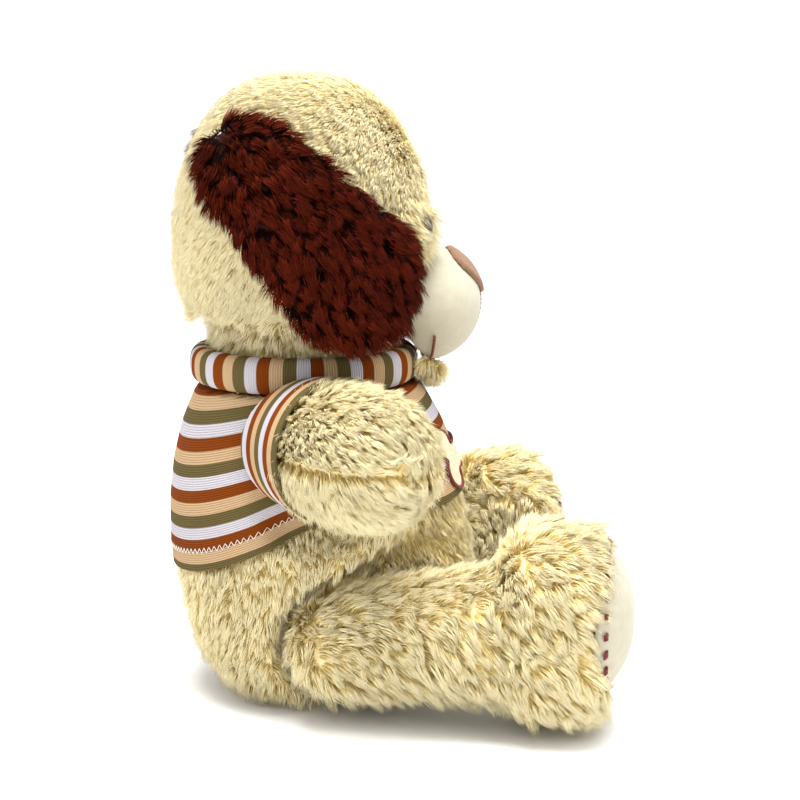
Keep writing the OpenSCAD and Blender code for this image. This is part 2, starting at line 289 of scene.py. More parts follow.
def settle(piece):
    """Applies the piece's modifiers."""
    graph = bpy.context.evaluated_depsgraph_get()
    mesh = bpy.data.meshes.new_from_object(piece.evaluated_get(graph))
    piece.modifiers.clear()
    old = piece.data
    piece.data = mesh
    mesh.name = piece.name
    bpy.data.meshes.remove(old)
    mesh.polygons.foreach_set("use_smooth", np.full(len(mesh.polygons), True))
    return piece


def move_verts(piece, verts):
    """Puts the piece's vertices at verts."""
    piece.data.vertices.foreach_set("co", verts.astype(np.float32).ravel())
    piece.data.update()


def outer_shell(piece):
    """Leaves the outer shells, without the closed hollows inside them.

    Vertices joined by edges get the same label, and a hollow's faces enclose a negative volume.
    """
    mesh = piece.data
    verts = coords(mesh)
    ends = np.empty(len(mesh.edges) * 2, np.int32)
    mesh.edges.foreach_get("vertices", ends)
    ends = ends.reshape(-1, 2)
    label = np.arange(len(verts))
    changed = True
    while changed:
        lower = label.copy()
        least = label[ends].min(axis=1)
        np.minimum.at(lower, ends[:, 0], least)
        np.minimum.at(lower, ends[:, 1], least)
        lower = lower[lower]
        changed = bool((lower != label).any())
        label = lower
    faces = np.array([face.vertices[:] for face in mesh.polygons])
    a, b, c, d = (verts[faces[:, k]] for k in range(4))
    volume = (a * (np.cross(b, c) + np.cross(c, d))).sum(axis=1)
    of_shell = np.bincount(label[faces[:, 0]], weights=volume, minlength=len(verts))
    faces = faces[of_shell[label[faces[:, 0]]] > 0]
    used, faces = np.unique(faces, return_inverse=True)
    name, materials = piece.name, list(mesh.materials)
    bpy.data.objects.remove(piece)
    return make(name, verts[used], [faces.reshape(-1, 4)], materials)


def remeshed(piece, voxel):
    add(piece, "REMESH", mode="VOXEL", voxel_size=voxel)
    return outer_shell(settle(piece))


def form(name, cad, voxel, smoothing, inset, materials=(), fillet=0.0, shape=None):
    """One closed smooth surface round the named CAD solids, moved in by inset.

    fillet rounds its inner corners, and shape(verts) changes where its points are at the end.
    """
    verts, faces, total = [], [], 0
    for node in cad:
        verts.append(coords(NODES[node].data))
        faces.append(triangles(NODES[node].data) + total)
        total += len(verts[-1])
    made = remeshed(make(name, np.vstack(verts), [np.vstack(faces)], materials), voxel)
    add(made, "SMOOTH", factor=0.5, iterations=smoothing)
    if fillet:
        add(made, "DISPLACE", strength=fillet, mid_level=0)
        made = remeshed(settle(made), voxel)
        add(made, "SMOOTH", factor=0.5, iterations=3)
        add(made, "DISPLACE", strength=-fillet, mid_level=0)
        add(made, "SMOOTH", factor=0.5, iterations=4)
    if inset:
        add(made, "DISPLACE", strength=-inset, mid_level=0)
        add(made, "SMOOTH", factor=0.5, iterations=2)
        made = remeshed(settle(made), voxel)
        add(made, "SMOOTH", factor=0.5, iterations=4)
    settle(made)
    if shape:
        move_verts(made, shape(coords(made.data)))
    return made


def tree_of(mesh):
    return BVHTree.FromPolygons(coords(mesh).tolist(), triangles(mesh).tolist())


def cut_panels(whole, names, materials):
    """The form as one open sheet for each CAD panel: each face goes to the panel it is nearest."""
    mesh = whole.data
    trees = [tree_of(NODES[n].data) for n in names]
    verts = coords(mesh)
    quads = np.array([p.vertices[:] for p in mesh.polygons])
    centres = verts[quads].mean(axis=1)
    owner = np.array([np.argmin([t.find_nearest(Vector(c))[3] for t in trees]) for c in centres])
    sheets = []
    for k, name in enumerate(names):
        mine = quads[owner == k]
        used, faces = np.unique(mine, return_inverse=True)
        sheets.append(make(name + "_cover", verts[used], [faces.reshape(mine.shape)], materials))
    return sheets


# How far a filling's surface is from its covers, and its size against theirs when it is drawn in to a core.
FILL_DEPTH = 3.5 * MM
FILL_SHARE = 0.93


def off_the_head(verts):
    """Moves an ear's wadding out from the head, to the middle of the ear."""
    out = verts - [0, AXIS_Y, 0]
    out[:, 2] = np.maximum(verts[:, 2] - HEAD_Z, 0)
    return verts + unit(out) * 2.6 * MM


def stuffed(cad_panels, cad_filling, body, voxel, inset, cloth,
            smoothing=6, thin=False, fillet=0.0, shape=None, core=None):
    """The covers of one stuffed part, cut panel by panel, with its filling inside. Returns the open covers.

    A filling with a core is drawn in towards that point, and one without is moved in from the covers.
    """
    whole = form("whole", list(cad_panels) + [cad_filling], voxel, smoothing, inset, (), fillet, shape)
    covers = cut_panels(whole, cad_panels, [cloth])
    if thin:
        filling = form(cad_filling + "_fill", [cad_filling], 1 * MM, 3, 0, [fibre], shape=off_the_head)
    elif core is not None:

        def drawn_in(verts):
            return core + ((shape(verts) if shape else verts) - core) * FILL_SHARE

        outer = [p for p in cad_panels if p != "chin_panel"] + [cad_filling]
        filling = form(cad_filling + "_fill", outer, voxel, smoothing, inset, [fibre], fillet, drawn_in)
    else:
        outer = list(cad_panels) + [cad_filling]
        deeper = inset + FILL_DEPTH
        filling = form(cad_filling + "_fill", outer, voxel, smoothing, deeper, [fibre], fillet, shape)
    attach(filling, body)
    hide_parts(cad_filling)
    bpy.data.objects.remove(whole)
    for cover, panel in zip(covers, cad_panels):
        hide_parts(panel)
    return covers


def thicken(cover, body, thick=1.2 * MM):
    """Gives an open cover its cloth's thickness, inwards, and lets it ride."""
    add(cover, "SOLIDIFY", thickness=thick, offset=-1)
    settle(cover)
    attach(cover, body)


# ---- fur ----


def drift(points, size, rng, count=7):
    """Smooth random vectors in space, that change over about size."""
    waves = rng.normal(size=(3, count)) * 1.6 / size
    phases = rng.uniform(0, 2 * math.pi, (3, count))
    return np.stack([np.sin(points @ waves + phases[k]).mean(axis=1) for k in range(3)], axis=1) * 2


def scatter(sheet, count, rng, keep):
    """Random places on a sheet with their normals; keep(points, normals) gives each place's chance."""
    mesh = sheet.data
    verts, faces = coords(mesh), triangles(mesh)
    flat = np.empty(len(verts) * 3, np.float32)
    mesh.vertex_normals.foreach_get("vector", flat)
    normals = flat.reshape(-1, 3).astype(float)
    a, b, c = (verts[faces[:, k]] for k in range(3))
    area = np.linalg.norm(np.cross(b - a, c - a), axis=1)
    area *= np.clip(keep((a + b + c) / 3, unit(normals[faces].mean(axis=1))), 0, 1)
    pick = rng.choice(len(faces), count, p=area / area.sum())
    share = rng.dirichlet((1, 1, 1), count)[:, :, None]
    return (verts[faces[pick]] * share).sum(axis=1), unit((normals[faces[pick]] * share).sum(axis=1))


def everywhere(points, normals):
    """Every place's chance is 1."""
    return np.ones(len(points))


def fur(name, sheet, body, tones, comb, count, long, wide, lift, seed,
        keep=everywhere, tuft=14, pull=0.55, droop=0.25, ruffle=0.25, length_at=None, upright_at=None):
    """A coat of closed tapered strands on a sheet, combed along comb(points) and gathered in tufts.

    lift is each strand's angle off the skin, tuft the strands in a tuft, pull how far their tips meet.
    """
    rng = np.random.default_rng(seed)
    root, normal = scatter(sheet, count, rng, keep)
    leaders = rng.permutation(count)[: count // tuft]
    kd = KDTree(len(leaders))
    for k, leader in enumerate(leaders):
        kd.insert(root[leader], k)
    kd.balance()
    group = np.array([kd.find(p)[1] for p in root])
    lead = leaders[group]
    flow = comb(root) + drift(root, 25 * MM, rng) * 0.35 * np.linalg.norm(comb(root), axis=1, keepdims=True)
    flow = unit(flow - normal * (flow * normal).sum(axis=1, keepdims=True))
    lean = rng.normal(size=(len(leaders), 3))[group] * ruffle + rng.normal(size=(count, 3)) * ruffle * 0.5
    angle = lift * rng.uniform(0.8, 1.2, (count, 1))
    if upright_at is not None:
        angle += (math.radians(85) - angle) * upright_at(root)[:, None]
    way = unit(normal * np.sin(angle) + flow * np.cos(angle) + lean)
    way = unit(way + normal * np.maximum(0.15 - (way * normal).sum(axis=1, keepdims=True), 0))
    size = long * rng.uniform(0.75, 1.1, (count, 1)) * rng.uniform(0.85, 1.15, len(leaders))[group][:, None]
    if length_at is not None:
        size *= length_at(root)[:, None]
    middle = root + way * size * 0.5
    later = way + flow * 0.3 + np.array([0, 0, -droop])
    later = unit(later + normal * np.maximum(0.05 - (later * normal).sum(axis=1, keepdims=True), 0))
    tip = middle + later * size * 0.5
    tip += (tip[lead] - tip) * pull
    middle += (middle[lead] - middle) * pull * 0.35
    across = unit(np.cross(way, normal))
    up = np.cross(across, way)
    spikes = np.empty((count, 7, 3))
    for k in range(3):
        turn = math.pi / 2 + 2 * math.pi * k / 3
        out = across * math.cos(turn) + up * (math.sin(turn) * 0.55)
        spikes[:, k] = root - normal * 0.5 * MM + out * wide * 0.5
        spikes[:, 3 + k] = middle + out * wide * 0.4
    spikes[:, 6] = tip
    spikes[:, :, 2] = np.maximum(spikes[:, :, 2], 0.3 * MM)
    first = (np.arange(count) * 7)[:, None, None]
    quads = (first + np.array([[0, 1, 4, 3], [1, 2, 5, 4], [2, 0, 3, 5]])).reshape(-1, 4)
    points = (first + np.array([[3, 4, 6], [4, 5, 6], [5, 3, 6]])).reshape(-1, 3)
    caps = (first + np.array([[0, 2, 1]])).reshape(-1, 3)
    half = len(tones) // 2
    tone = rng.normal(0.5, 0.2, count) + drift(root, 12 * MM, rng)[:, 0] * 0.2
    tone = np.clip((tone * half).astype(int), 0, half - 1)
    # Each strand's lower half and cap take a root tone, painted shade deep in the pile, and its upper half a
    # tip tone.
    index = np.concatenate([np.repeat(tone + half, 3), np.repeat(tone, 3), tone + half])
    made = make(name, spikes.reshape(-1, 3), [quads, points, caps], tones, index)
    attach(made, body)
    return made


# ---- head ----


def head_comb(points):
    """Back from the bridge of the muzzle, and down."""
    back = points - MUZZLE
    back[:, 2] -= 60 * MM
    return unit(back) * 0.6 + np.array([0, 0.25, -0.55])


def muzzle_depth(points):
    """Below 1 inside the muzzle's form."""
    return np.sqrt(
        (points[:, 0] / MUZZLE_HALF) ** 2 + ((points[:, 1:] - MUZZLE[1:]) ** 2).sum(axis=1) / MUZZLE_R**2
    )


def head_keep(points, normals):
    """Fur everywhere but in the neck's socket, under the muzzle and under the eyes."""
    to_neck = NECK - points
    reach = np.linalg.norm(to_neck, axis=1)
    in_socket = (reach < SOCKET_R + 11 * MM) & ((normals * to_neck).sum(axis=1) > 0.5 * reach)
    in_socket &= points[:, 1] > CHIN[1]
    return 1.0 * ~(in_socket | (eye_away(points) < 5.5 * MM) | under_muzzle(points))


def under_muzzle(points):
    """True where the muzzle covers the head's skin. The chin's fur starts nearer to it."""
    limit = np.where(points[:, 2] < CHIN[2], 0.8, 0.93)
    return muzzle_depth(points) < limit


def eye_away(points):
    """How far each point is from the nearer eye's own line."""
    away = np.hypot(np.abs(points[:, 0]) - EYE[0], points[:, 2] - EYE[2])
    return np.where(points[:, 1] < AXIS_Y, away, 1.0)


def round_eyes(points):
    """1 beside an eye, where the fur stands up, falling to 0."""
    return np.clip(1 - (eye_away(points) - 9 * MM) / (7 * MM), 0, 1)


def head_length(points):
    """Longer fur beside the eyes and where the head hangs over the collar."""
    hanging = np.clip((192 * MM - points[:, 2]) / (20 * MM), 0, 1) * (points[:, 1] > MUZZLE[1] + 20 * MM)
    return 1 + 0.6 * round_eyes(points) + 0.6 * hanging


def fuller_chin(verts):
    """Brings the chin's skin back out to where its short fur needs it."""
    out = verts - CHIN
    reach = np.linalg.norm(out, axis=1)
    share = np.clip((CHIN_R - reach) / (6 * MM), 0, 1) * (out[:, 1] < 4 * MM) * (out[:, 2] < 6 * MM)
    return verts + unit(out) * (4.5 * MM * share)[:, None]


def build_head():
    panels = ["head_gusset", "head_side_right", "head_side_left", "chin_panel"]
    core = np.array([0, AXIS_Y, HEAD_Z + 8 * MM])
    covers = stuffed(panels, "head_stuffing", "head", 3 * MM, 7 * MM, cream_backing,
                     shape=fuller_chin, core=core)
    counts = [17000, 19500, 19500, 3000]
    for k, (cover, panel, count) in enumerate(zip(covers, panels, counts)):
        for layer in range(2 if k < 3 else 1):
            fur(f"{panel}_fur_{layer}", cover, "head", cream_fur, head_comb, count,
                9.5 * MM, 0.46 * MM, math.radians(27), 11 + k + 100 * layer, keep=head_keep,
                pull=0.25, ruffle=0.11, upright_at=round_eyes, length_at=head_length)
        thicken(cover, "head")


def build_neck():
    """The neck keeps its CAD skin and filling; a short coat grows where it shows above the collar."""
    ball = form("neck_form", ["neck_skin", "neck_stuffing"], 3 * MM, 3, 0.5 * MM)

    def neck_comb(points):
        return (points - NECK) * [1, 1, 0] * 10 + [0, 0, -0.8]

    def neck_keep(points, normals):
        above_collar = (points[:, 2] > COLLAR_LOW) & (points[:, 2] < COLLAR_HIGH + 16 * MM)
        return 1.0 * (above_collar & (normals[:, 2] < 0.9))

    fur("neck_fur", ball, "neck", cream_fur, neck_comb, 16000, 13 * MM, 0.5 * MM,
        math.radians(50), 18, keep=neck_keep, droop=0.3)
    bpy.data.objects.remove(ball)


def build_muzzle():
    cover = form("muzzle_cover", ["muzzle_panel", "muzzle_stuffing"], 2.5 * MM, 3, 0.6 * MM, [velour])
    filling = form("muzzle_fill", ["muzzle_stuffing"], 3 * MM, 2, 1.2 * MM, [fibre])
    add(cover, "SUBSURF", levels=1, render_levels=1)
    settle(cover)
    verts = coords(cover.data)
    inward = MUZZLE - verts
    inward[:, 0] = 0
    below_nose = (verts[:, 1] < MUZZLE[1]) & (verts[:, 2] < MUZZLE[2] + 4 * MM)
    groove = 1.5 * MM * np.exp(-(verts[:, 0] / (1.8 * MM)) ** 2) * below_nose
    verts += unit(inward) * groove[:, None]
    move_verts(cover, verts)
    parts = ((cover, "muzzle_panel", "cream_velour"), (filling, "muzzle_stuffing", "fibrefill"))
    for piece, node, slot in parts:
        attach(piece, "head")
        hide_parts(node)

    def sunk(verts):
        return verts + unit((MUZZLE - verts) * [0, 1, 1]) * 0.9 * MM

    nose = form("nose_cover", ["nose_patch"], 1 * MM, 4, 0, [nose_cloth], shape=sunk)
    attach(nose, "head")
    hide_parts("nose_patch")


def spindles(name, starts, ends, normals, wide, high, materials, bow=0.35, around=6):
    """Raised stitches of thread: closed spindles from starts to ends, that bow up along normals."""
    starts, ends, normals = (np.asarray(a, float).reshape(-1, 3) for a in (starts, ends, normals))
    along = ends - starts
    side = unit(np.cross(along, normals))
    rise = unit(np.cross(side, along))
    shares = np.array([0.0, 0.08, 0.3, 0.5, 0.7, 0.92, 1.0])
    girths = np.array([0.25, 0.7, 0.95, 1.0, 0.95, 0.7, 0.25])
    rings = []
    for share, girth in zip(shares, girths):
        middle = starts + along * share + rise * high * bow * math.sin(math.pi * share)
        for k in range(around):
            turn = 2 * math.pi * k / around
            rings.append(middle + (side * wide * math.cos(turn) + rise * high * math.sin(turn)) * 0.5 * girth)
    verts = np.stack(rings, axis=1)
    count, each = verts.shape[:2]
    quads = []
    for r in range(len(shares) - 1):
        for k in range(around):
            n = (k + 1) % around
            quads.append([r * around + k, r * around + n, (r + 1) * around + n, (r + 1) * around + k])
    first = (np.arange(count) * each)[:, None, None]
    quads = (first + np.array(quads)).reshape(-1, 4)
    last = each - around
    ends_faces = np.array([list(range(around))[::-1], list(range(last, each))])
    return make(name, verts.reshape(-1, 3), [quads, (first + ends_faces).reshape(-1, around)], materials)


def build_mouth():
    """The mouth line under the muzzle and the short line from it up to the nose, in slanted stitches."""
    reach = math.acos(0.4)
    turns = np.linspace(-reach, reach, 38)
    line = np.stack([
        MUZZLE_HALF * np.sin(turns),
        np.full(len(turns), MUZZLE[1] - 1.5 * MM),
        MUZZLE[2] - MUZZLE_R * np.cos(turns),
    ], axis=1)
    lift = np.radians(np.linspace(4, 98, 22))
    middle = np.stack([
        np.zeros(len(lift)),
        MUZZLE[1] - MUZZLE_R * np.sin(lift),
        MUZZLE[2] - MUZZLE_R * np.cos(lift),
    ], axis=1)
    starts, ends, normals = [], [], []
    for path, stand in ((line, 0.3 * MM), (middle, -1.1 * MM)):
        out = path - MUZZLE
        out[:, 0] *= (MUZZLE_R / MUZZLE_HALF) ** 2
        out = unit(out)
        slant = unit(np.cross(out[:-1], path[1:] - path[:-1])) * 0.4 * MM
        starts.append(path[:-1] - slant + out[:-1] * stand)
        ends.append(path[1:] + (path[1:] - path[:-1]) * 0.25 + slant + out[1:] * stand)
        normals.append(out[:-1])
    made = spindles("mouth_thread", np.vstack(starts), np.vstack(ends), np.vstack(normals),
                    1.5 * MM, 1.3 * MM, [brown_thread])
    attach(made, "head")
    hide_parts("mouth_stitch")


def build_ear(side):
    sign = SIDES[side]
    body = "ear_" + side
    panels = ["ear_plush_" + side, "ear_lining_" + side]
    covers = stuffed(panels, "ear_wadding_" + side, body, 2 * MM, 3.2 * MM, brown_backing,
                     smoothing=5, thin=True)
    slope = unit(EAR_TIP - EAR_ROOT)
    middle = (EAR_TIP + EAR_ROOT) / 2

    def ear_comb(points):
        spread = points - middle
        spread[:, 0] = 0
        return slope * 1.0 + spread / (60 * MM)

    for k, (cover, panel) in enumerate(zip(covers, panels)):
        slot, count, long, lift = (
            ("brown_plush", 19800, 12.5 * MM, math.radians(34)),
            ("brown_lining", 9000, 6 * MM, math.radians(28)),
        )[k]
        fur(panel + "_fur", cover, body, brown_fur, ear_comb, count, long, 0.55 * MM, lift,
            31 + k + 5 * (sign > 0), tuft=36, pull=0.5, droop=0.3, ruffle=0.24)
        thicken(cover, body, 0.8 * MM)


# ---- arms and legs ----


def mirrored(point, sign):
    return np.array([point[0] * sign, point[1], point[2]])


def arm_way(sign):
    return np.array([math.cos(ARM_FORWARD) * sign, -math.sin(ARM_FORWARD), 0])


def build_arm(side):
    sign = SIDES[side]
    body = "arm_" + side
    panels = ["arm_upper_" + side, "arm_lower_" + side]
    way, shoulder = arm_way(sign), mirrored(SHOULDER, sign)
    covers = stuffed(panels, "arm_stuffing_" + side, body, 3 * MM, 6 * MM, cream_backing,
                     core=shoulder + way * ARM_LONG * 0.45)

    def arm_comb(points):
        """Along the arm, and away from the seam along its middle."""
        part = np.sign(points[:, 2] - SHOULDER[2])[:, None] * np.array([0, 0, 1.0])
        near = np.exp(-np.abs(points[:, 2:] - SHOULDER[2]) / (10 * MM))
        return way * 0.8 + part * (0.2 + 0.45 * near) + np.array([0, 0, -0.25])

    def arm_keep(points, normals):
        return 1.0 * ((points - shoulder) @ way > SLEEVE_LONG - 15 * MM)

    def by_cuff(points):
        return 0.15 * np.clip(1 - ((points - shoulder) @ way - SLEEVE_LONG) / (14 * MM), 0, 1)

    for k, (cover, panel) in enumerate(zip(covers, panels)):
        fur(panel + "_fur", cover, body, cream_fur, arm_comb, 19800, 11.5 * MM, 0.52 * MM,
            math.radians(29), 51 + k + 5 * (sign > 0), keep=arm_keep,
            tuft=18, pull=0.35, ruffle=0.15, upright_at=by_cuff)
        thicken(cover, body)


def build_leg(side):
    sign = SIDES[side]
    body = "leg_" + side
    panels = ["leg_outer_" + side, "leg_inner_" + side]
    hip, ankle = mirrored(HIP, sign), mirrored(ANKLE, sign)
    way = unit(ankle - hip)
    centre, out = pad_place(side)

    def shape_leg(verts):
        """Draws the top of a foot down, its sole out to its pad, and the leg's root in to the hip."""
        verts[:, 2] -= np.maximum(verts[:, 2] - 70 * MM, 0) * 0.25
        near_pad = np.clip(((verts - centre) @ out + 16 * MM) / (9 * MM), 0, 1)
        verts += out * (4.5 * MM * near_pad)[:, None]
        verts[:, 0] -= sign * np.maximum(HIP_PLANE + 14 * MM - verts[:, 0] * sign, 0) * 1.5
        flare = np.clip((HIP_PLANE + 14 * MM - verts[:, 0] * sign) / (14 * MM), 0, 1)
        verts[:, 1:] += (verts[:, 1:] - hip[1:]) * (0.1 * flare)[:, None]
        verts[:, 2] = np.maximum(verts[:, 2], 1.5 * MM)
        return verts

    covers = stuffed(panels, "leg_stuffing_" + side, body, 3 * MM, 7 * MM, cream_backing,
                     fillet=14 * MM, shape=shape_leg)

    def by_root(points):
        return np.clip((HIP_PLANE + 10 * MM - points[:, 0] * sign) / (10 * MM), 0, 1)

    def leg_comb(points):
        root = by_root(points)[:, None]
        along = way * 0.8 + 0.2 * unit(points - hip)
        return along * (1 - root) + np.array([-sign, 0, 0]) * root + np.array([0, 0, -0.5])

    def root_upright(points):
        return 0.4 * by_root(points)

    def leg_keep(points, normals):
        beside_torso = np.hypot(points[:, 0], points[:, 1] - TORSO_MID[1]) < 70 * MM
        inside = beside_torso & (normals[:, 0] * sign < -0.8)
        across = points - centre
        across -= (across @ out)[:, None] * out
        on_pad = (np.linalg.norm(across, axis=1) < PAD_R - 2.5 * MM) & (normals @ out > 0.7)
        return 1.0 * ~(inside | on_pad)

    for k, (cover, panel) in enumerate(zip(covers, panels)):
        fur(panel + "_fur", cover, body, cream_fur, leg_comb, 19800, 13 * MM, 0.58 * MM,
            math.radians(33), 61 + k + 5 * (sign > 0), keep=leg_keep,
            tuft=26, pull=0.55, droop=0.35, ruffle=0.22, upright_at=root_upright)
        thicken(cover, body)
    build_pad(side, centre, out)


def pad_place(side):
    """The middle of a foot pad's rim, and the way that the pad faces."""
    sign = SIDES[side]
    out = np.array([math.sin(FOOT_SPLAY) * sign, -math.cos(FOOT_SPLAY), 0])
    verts = coords(NODES["foot_pad_" + side].data)
    low, high = verts.min(axis=0), verts.max(axis=0)
    centre = (low + high) / 2
    centre += out * ((verts @ out).max() - PAD_DOME - centre @ out)
    return centre, out


def build_pad(side, centre, out):
    """A domed velour disc, drawn in at its edge by a ring of satin dashes."""
    body = "leg_" + side
    across = np.array([-out[1], out[0], 0])
    up = np.array([0, 0, 1.0])
    rings, around = 40, 144
    radii = PAD_R * np.sin(np.linspace(0.02, math.pi / 2, rings))
    turns = np.linspace(0, 2 * math.pi, around, endpoint=False)
    grid_r, grid_t = np.meshgrid(radii, turns, indexing="ij")
    rim = (grid_r / PAD_R) ** 6
    dome = (PAD_DOME + PAD_PUFF) * (1 - (grid_r / PAD_R) ** 2.6) + 0.2 * MM
    dome -= 0.7 * MM * rim * np.cos(grid_t * DASHES)
    front = centre + (grid_r * np.cos(grid_t))[..., None] * across
    front = front + (grid_r * np.sin(grid_t))[..., None] * up
    front = front + dome[..., None] * out
    back = front[-1] - out * 3 * MM
    verts = np.vstack([front.reshape(-1, 3), back, [front[0].mean(axis=0)], [centre - out * 2.8 * MM]])
    quads = []
    for r in range(rings):
        for k in range(around):
            n = (k + 1) % around
            quads.append([r * around + k, (r + 1) * around + k, (r + 1) * around + n, r * around + n])
    last = rings * around
    tip, hub = len(verts) - 2, len(verts) - 1
    caps = [[tip, k, (k + 1) % around] for k in range(around)]
    caps += [[hub, last + (k + 1) % around, last + k] for k in range(around)]
    pad = make(f"foot_pad_{side}_cloth", verts, [np.array(quads), np.array(caps)], [velour])
    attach(pad, body)
    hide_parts("foot_pad_" + side)
    starts, ends = [], []
    threads = 7
    for turn in np.arange(DASHES) * 2 * math.pi / DASHES:
        radial = across * math.cos(turn) + up * math.sin(turn)
        sideways = -across * math.sin(turn) + up * math.cos(turn)
        for k in range(threads):
            offset = sideways * (k - (threads - 1) / 2) * 0.42 * MM
            uneven = 0.4 * MM * math.sin(5 * k + 9 * turn)
            starts.append(centre + radial * (PAD_R - 3.2 * MM + uneven) + offset + out * 2.0 * MM)
            ends.append(centre + radial * (PAD_R + 2.2 * MM + uneven) + offset + out * 0.9 * MM)
    made = spindles(f"pad_threads_{side}", starts, ends, np.tile(out, (len(starts), 1)),
                    0.62 * MM, 1.6 * MM, [maroon_thread], 0.5)
    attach(made, body)
    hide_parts("pad_stitches_" + side)


# ---- body and sweater ----


def build_torso():
    panels = ["torso_front", "torso_back"]
    covers = stuffed(panels, "torso_stuffing", "torso", 3 * MM, 4.5 * MM, cream_backing,
                     core=TORSO_MID + np.array([0, 0, 12 * MM]))

    def body_comb(points):
        return (points - TORSO_MID) * [1, 1, 0] * 8 + np.array([0, 0, -0.9])

    def body_keep(points, normals):
        across = points - TORSO_MID
        aside = np.abs(across[:, 0]) / np.hypot(across[:, 0], across[:, 1])
        below_hem = points[:, 2] < HEM_Z - math.tan(HEM_TILT) * points[:, 1] + 3 * MM + SIDE_RISE * aside**4
        return 1.0 * (below_hem & (normals[:, 2] > -0.8))

    def by_hip(points):
        return 0.4 * ((np.abs(points[:, 0]) > HIP_PLANE - 12 * MM) & (points[:, 2] < 2 * HIP[2]))

    for k, (cover, panel) in enumerate(zip(covers, panels)):
        fur(panel + "_fur", cover, "torso", cream_fur, body_comb, 19500, 10 * MM, 0.54 * MM,
            math.radians(34), 71 + k, keep=body_keep,
            tuft=20, pull=0.4, droop=0.35, ruffle=0.2, upright_at=by_hip)
        thicken(cover, "torso")


def knit_sheet(name, base, outward, stripe_at, closed_rows=False, stripe=STRIPE, inward=None):
    """A ribbed striped sheet, closed along its columns.

    base[row, column] are its places, RIB_ROWS rows to a rib. stripe_at[row] is each row's place across the
    stripes. inward is the way to an open sheet's inner face.
    """
    rows, columns = base.shape[:2]
    ribs = np.sin(math.pi * (np.arange(rows) % RIB_ROWS) / RIB_ROWS)[:, None, None]
    verts = base + outward * (0.4 * MM * ribs)
    row_count = rows if closed_rows else rows - 1
    r, c = np.meshgrid(np.arange(row_count), np.arange(columns), indexing="ij")
    nr, nc = (r + 1) % rows, (c + 1) % columns
    quads = np.stack([r * columns + c, r * columns + nc, nr * columns + nc, nr * columns + c], axis=-1)
    quads = quads.reshape(-1, 4)
    colour = np.floor(stripe_at / stripe).astype(int) % len(STRIPES)
    # Each row takes its stripe's tone for its place in the rib, with painted shade on the groove row.
    index = (colour[r] * RIB_ROWS + r % RIB_ROWS).ravel()
    flat = verts.reshape(-1, 3)
    if inward is not None:
        count, last = len(flat), (rows - 1) * columns
        near = np.arange(columns)
        far = (near + 1) % columns
        low_edge = np.stack([far, near, near + count, far + count], axis=1)
        high_edge = np.stack([near + last, far + last, far + last + count, near + last + count], axis=1)
        flat = np.vstack([flat, (base + inward * KNIT_THICK).reshape(-1, 3)])
        quads = np.vstack([quads, quads[:, ::-1] + count, low_edge, high_edge])
        index = np.concatenate([index, index, index[:columns], index[-columns:]])
    made = make(name, flat, [quads], knit_tones, index)
    add(made, "WELD", merge_threshold=1e-6)
    return settle(made)


def sweater_rows():
    """The torso's surface as rings parallel to the hem.

    Returns each ring's distance up from the hem, places[ring, column], and each column's way out.
    """
    whole = form("torso_whole", ["torso_front", "torso_back", "torso_stuffing"], 3 * MM, 4, 0)
    tree = tree_of(whole.data)
    bpy.data.objects.remove(whole)
    columns, coarse, step = 128, 70, 1.5 * MM
    turns = np.linspace(0, 2 * math.pi, columns, endpoint=False)
    e2 = np.array([0, math.cos(HEM_TILT), -math.sin(HEM_TILT)])
    ways = np.cos(turns)[:, None] * np.array([1.0, 0, 0]) + np.sin(turns)[:, None] * e2
    lean = np.array([0, math.sin(TORSO_LEAN), math.cos(TORSO_LEAN)])
    slope = math.tan(HEM_TILT)
    up_from_hem = np.arange(coarse) * step
    places = np.empty((coarse, columns, 3))
    for k, rise in enumerate(up_from_hem):
        plane_z = HEM_Z + rise / math.cos(HEM_TILT)
        t = (plane_z - slope * TORSO_MID[1] - TORSO_MID[2]) / (lean[2] + slope * lean[1])
        axis = TORSO_MID + lean * t
        for c, way in enumerate(ways):
            hit = tree.ray_cast(Vector(axis + way * 0.2), Vector(-way), 0.2)[0]
            places[k, c] = hit if hit else axis
    return up_from_hem, places, ways


def build_sweater():
    rises, places, ways = sweater_rows()
    columns = places.shape[1]
    ceiling = TORSO_TOP - 1 * MM
    top = np.empty(columns)
    for c in range(columns):
        above = np.argmax(places[:, c, 2] > ceiling) or len(rises) - 1
        low_z, high_z = places[above - 1, c, 2], places[above, c, 2]
        top[c] = rises[above - 1] + (ceiling - low_z) / (high_z - low_z) * (rises[above] - rises[above - 1])
    ride_up = SIDE_RISE * ways[:, 0] ** 4
    fine = np.arange(0, top.max(), RIB / RIB_ROWS)
    base = np.empty((len(fine), columns, 3))
    for c in range(columns):
        share = np.clip(1 - fine / top[c], 0, 1)
        at = np.minimum(fine + ride_up[c] * share, top[c])
        for axis in range(3):
            base[:, c, axis] = np.interp(at, rises, places[:, c, axis])
    base = base + ways * BODY_STAND
    outward = ways * (fine[:, None] < top)[..., None]
    turns = np.linspace(0, 2 * math.pi, columns, endpoint=False)
    neck_ring = np.stack([
        NECK_RING_R * ways[:, 0],
        AXIS_Y + NECK_RING_R * np.sin(turns),
        np.full(columns, TORSO_TOP + 0.6 * MM),
    ], axis=1)
    base = np.concatenate([base, base[-1:] * 0.5 + neck_ring[None] * 0.5, neck_ring[None]])
    outward = np.concatenate([outward, outward[-1:], outward[-1:]])
    stripe_at = np.concatenate([fine, fine[-1:], fine[-1:]])
    inward = np.broadcast_to(-ways, base.shape).copy()
    inward[-2:, :, 2] = -1
    made = knit_sheet("sweater_body", base, outward, stripe_at + 2.5 * MM, inward=inward)
    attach(made, "torso")
    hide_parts("sweater_front", "sweater_back")
    sew_zigzag(base, ways)
    return made


